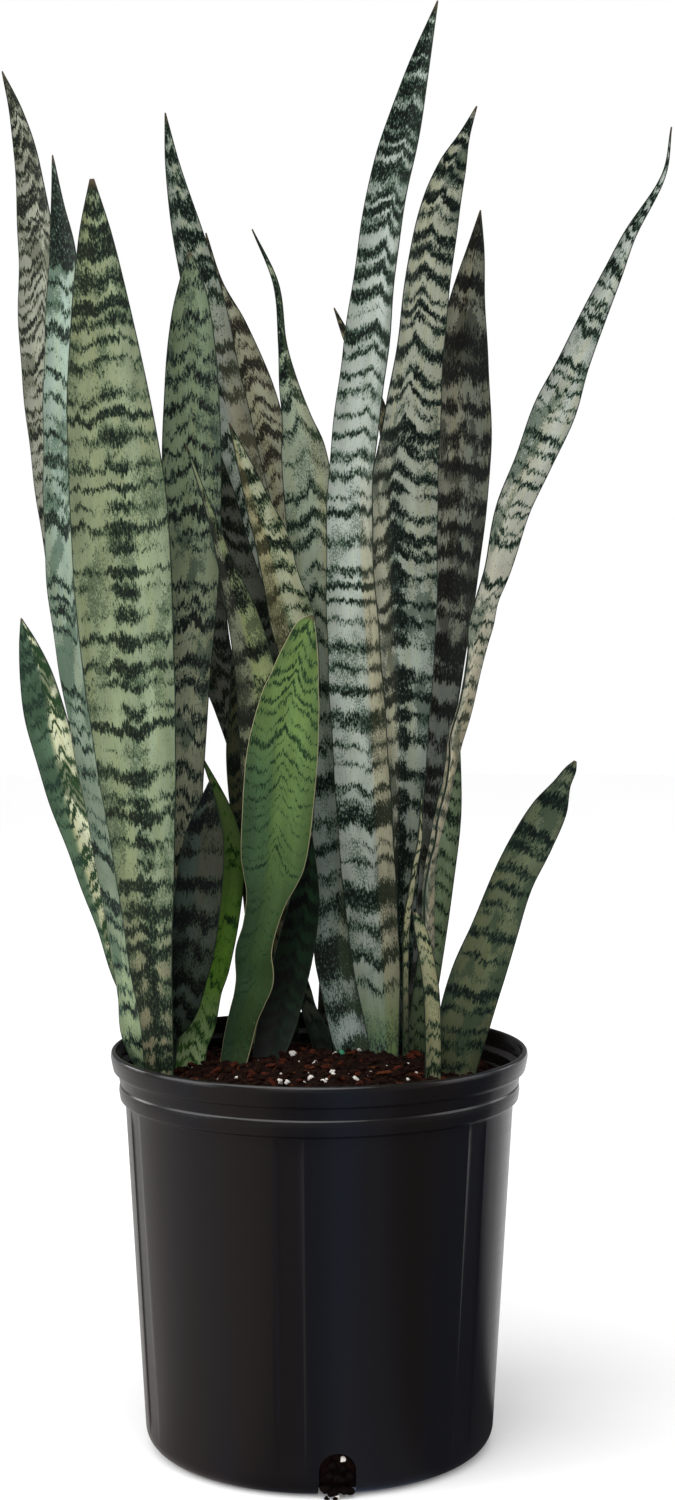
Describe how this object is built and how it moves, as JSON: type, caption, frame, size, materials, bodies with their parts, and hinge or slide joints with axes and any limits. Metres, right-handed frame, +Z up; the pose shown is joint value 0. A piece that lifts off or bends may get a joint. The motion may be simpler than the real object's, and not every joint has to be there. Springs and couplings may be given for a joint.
{
  "type": "potted snake plant",
  "caption": "Upright sword-shaped succulent leaves with dark cross bands, growing in a round black nursery pot filled with soil.",
  "frame": {"origin": "middle of the pot's flat underside, on the pot's axis", "axes": "+Z up along the pot's axis and the leaves, -Y to the plant's front"},
  "size_m": [0.4158, 0.26, 0.8963],
  "materials": {
    "pot_plastic": "semi-gloss moulded black plastic",
    "potting_soil": "loose dark bark and peat mix",
    "leaf_silver": "waxy silver-green skin with dark cross bands",
    "leaf_sage": "waxy grey-green skin with dark cross bands",
    "leaf_bright": "waxy bright green skin with fine dark lines",
    "leaf_dark": "waxy dark green skin with dark cross bands"
  },
  "bodies": {
    "root": {"pot": "pot_plastic", "soil": "potting_soil", "leaf_01": "leaf_sage", "leaf_02": "leaf_silver", "leaf_03": "leaf_sage", "leaf_04": "leaf_sage", "leaf_05": "leaf_silver", "leaf_06": "leaf_sage", "leaf_07": "leaf_dark", "leaf_08": "leaf_silver", "leaf_09": "leaf_sage", "leaf_10": "leaf_silver", "leaf_11": "leaf_dark", "leaf_12": "leaf_silver", "leaf_13": "leaf_dark", "leaf_14": "leaf_silver", "leaf_15": "leaf_sage", "leaf_16": "leaf_sage", "leaf_17": "leaf_sage", "leaf_18": "leaf_bright", "leaf_19": "leaf_dark", "leaf_20": "leaf_dark", "leaf_21": "leaf_dark", "leaf_22": "leaf_bright", "leaf_23": "leaf_dark", "leaf_24": "leaf_sage", "leaf_25": "leaf_dark", "leaf_26": "leaf_dark", "leaf_27": "leaf_sage"}
  },
  "joints": []
}
